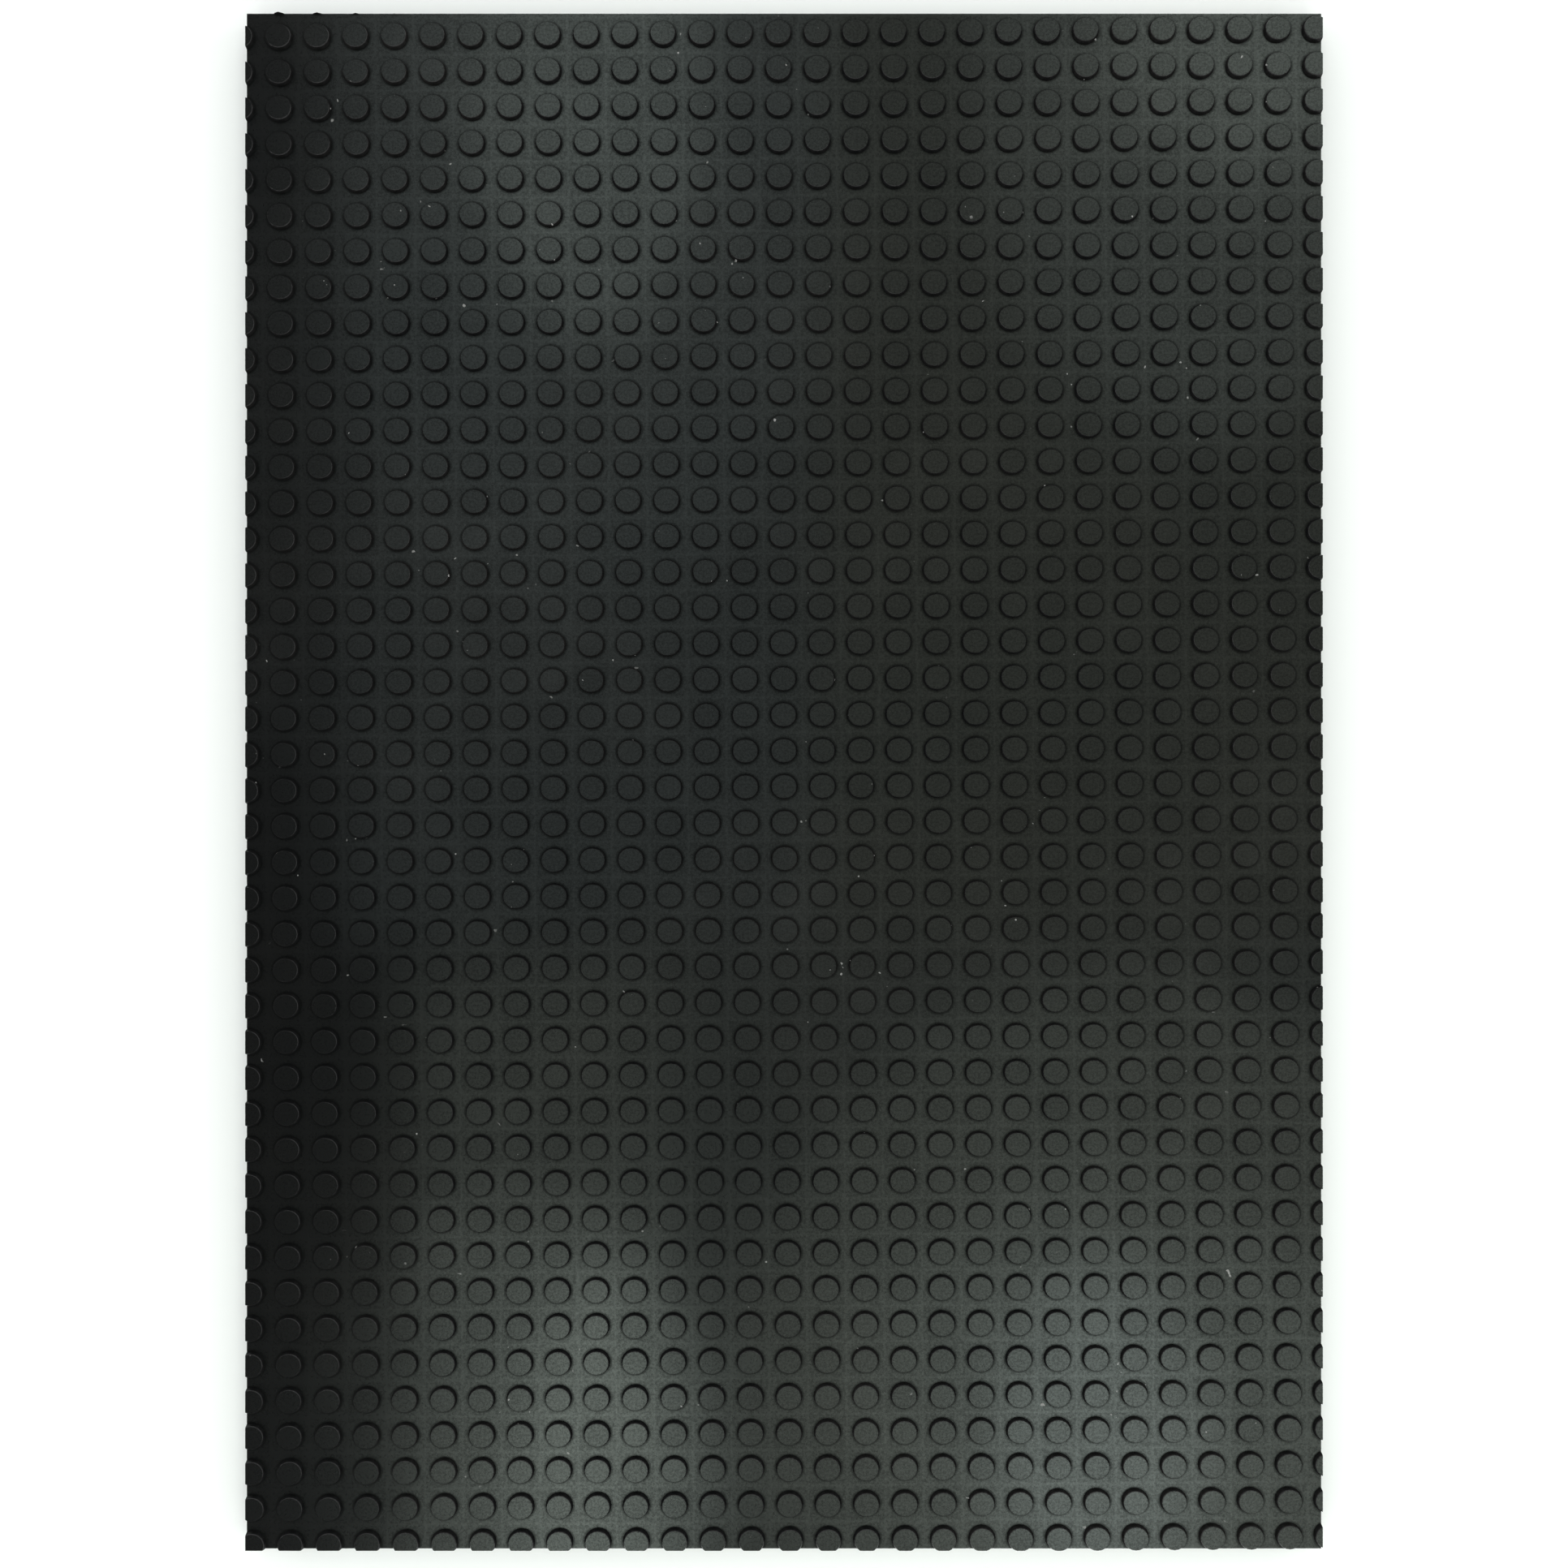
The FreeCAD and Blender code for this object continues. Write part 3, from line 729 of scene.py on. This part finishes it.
# %% Lights
def panel(name, place, size_x, size_y, radiance, colour, towards=None, shape="RECTANGLE"):
    """A soft light facing down, or towards a place and then not seen in the mat's sheen."""
    light = bpy.data.lights.new(name, "AREA")
    light.shape = shape
    light.size = size_x
    light.size_y = size_y
    light.energy = radiance * math.pi * size_x * size_y
    light.color = colour
    lamp = bpy.data.objects.new(name, light)
    lamp.location = place
    if towards:
        aim = [there - here for here, there in zip(place, towards)]
        lamp.rotation_euler = (math.acos(-aim[2] / math.dist(place, towards)), 0, math.atan2(-aim[0], aim[1]))
        lamp.visible_glossy = False
    lamp.visible_camera = False
    bpy.context.scene.collection.objects.link(lamp)


camera_height = 0.79
ceiling = 1.5
mirror = 1 + ceiling / camera_height
layer_drop = 0.004
cool = (0.84, 1.0, 0.97)
green = (0.86, 1.0, 0.90)
olive = (0.89, 1.0, 0.82)
white = (1.0, 1.0, 1.0)
flat, round_end = "RECTANGLE", "ELLIPSE"
seen_in = {
    "far_left_ceiling": ((-0.285, 0.02), (-0.10, 0.56), 0.44, cool, flat),
    "far_right_ceiling": ((0.02, 0.44), (-0.10, 0.56), 0.43, olive, flat),
    "near_ceiling": ((-0.245, 0.46), (-0.56, -0.10), 0.36, green, flat),
    "left_strip": ((-0.40, -0.285), (0.02, 0.36), 0.10, cool, flat),
    "near_left_window": ((-0.235, -0.075), (-0.56, -0.12), 0.33, olive, flat),
    "near_left_low": ((-0.235, -0.085), (-0.56, -0.27), 0.82, green, flat),
    "near_left_edge": ((-0.29, -0.235), (-0.56, -0.32), 0.18, green, flat),
    "near_left_core": ((-0.175, -0.045), (-0.58, -0.31), 1.45, green, round_end),
    "near_right_wide": ((-0.03, 0.47), (-0.68, -0.12), 0.40, olive, round_end),
    "near_right_middle": ((0.06, 0.36), (-0.57, -0.23), 0.34, green, round_end),
    "near_right_core": ((0.13, 0.27), (-0.52, -0.31), 1.35, cool, round_end),
    "near_right_low": ((0.02, 0.40), (-0.56, -0.30), 0.34, green, flat),
    "far_left_wide": ((-0.30, 0.04), (0.12, 0.72), 0.14, cool, round_end),
    "far_left_core": ((-0.20, -0.05), (0.28, 0.58), 0.78, green, round_end),
    "far_right_wide": ((0.12, 0.40), (0.21, 0.71), 0.34, cool, round_end),
    "far_right_core": ((0.20, 0.38), (0.38, 0.60), 0.72, green, round_end),
}
for layer, (name, (seen_x, seen_y, radiance, colour, shape)) in enumerate(seen_in.items()):
    size_x = (seen_x[1] - seen_x[0]) * mirror
    size_y = (seen_y[1] - seen_y[0]) * mirror
    place = (sum(seen_x) / 2 * mirror, sum(seen_y) / 2 * mirror, ceiling - layer_drop * layer)
    panel(name, place, size_x, size_y, radiance, colour, shape=shape)
side_reach = 3.0
side_height = 0.9
side_size = (4.0, 1.6)
side_radiance = 3.4
sides = {"near_side": (0, -1), "far_side": (0, 1), "right_side": (1, 0), "left_side": (-1, 0)}
for name, (x, y) in sides.items():
    place = (side_reach * x, side_reach * y, side_height)
    panel(name, place, *side_size, side_radiance, white, towards=(0, 0, 0))
print("panels overhead:", len(seen_in), "at the sides:", len(sides))

# %% [markdown]
# ## The studio's walls
# Round the floor, the walls are pale up to about half height and the rest of the room is dark. So the mat's
# edges catch some light from the side, and from above only the overhead panels show in the rubber.

# %% The studio's walls
world = bpy.data.worlds.new("studio")
world.use_nodes = True
tree = world.node_tree
direction = Value(tree, tree.nodes.new("ShaderNodeTexCoord").outputs["Generated"])
rise = direction.node("ShaderNodeSeparateXYZ", {}, {"Vector": direction}, 2)
wall_light = 0.92
room_light = 0.05
strength = wall_light - (wall_light - room_light) * rise.between(0.40, 0.8)
background = tree.nodes["Background"]
background.inputs["Color"].default_value = (1, 1, 1, 1)
tree.links.new(strength.socket, background.inputs["Strength"])
bpy.context.scene.world = world
bpy.context.scene.view_settings.view_transform = "Standard"
print("walls", wall_light, "room above", room_light)

# %% [markdown]
# ## The camera
# It looks straight down on the middle of the mat, from close enough that the studs' walls show towards the
# edges.

# %% Camera
seen_length = 1.0217
middle_y = -0.0019
lens_data = bpy.data.cameras.new("camera")
lens_data.sensor_width = 36.0
lens_data.lens = lens_data.sensor_width * camera_height / seen_length
camera = bpy.data.objects.new("camera", lens_data)
camera.location = (0, middle_y, sheet_top + camera_height)
bpy.context.scene.collection.objects.link(camera)
bpy.context.scene.camera = camera
print("lens", round(lens_data.lens, 1), "mm")
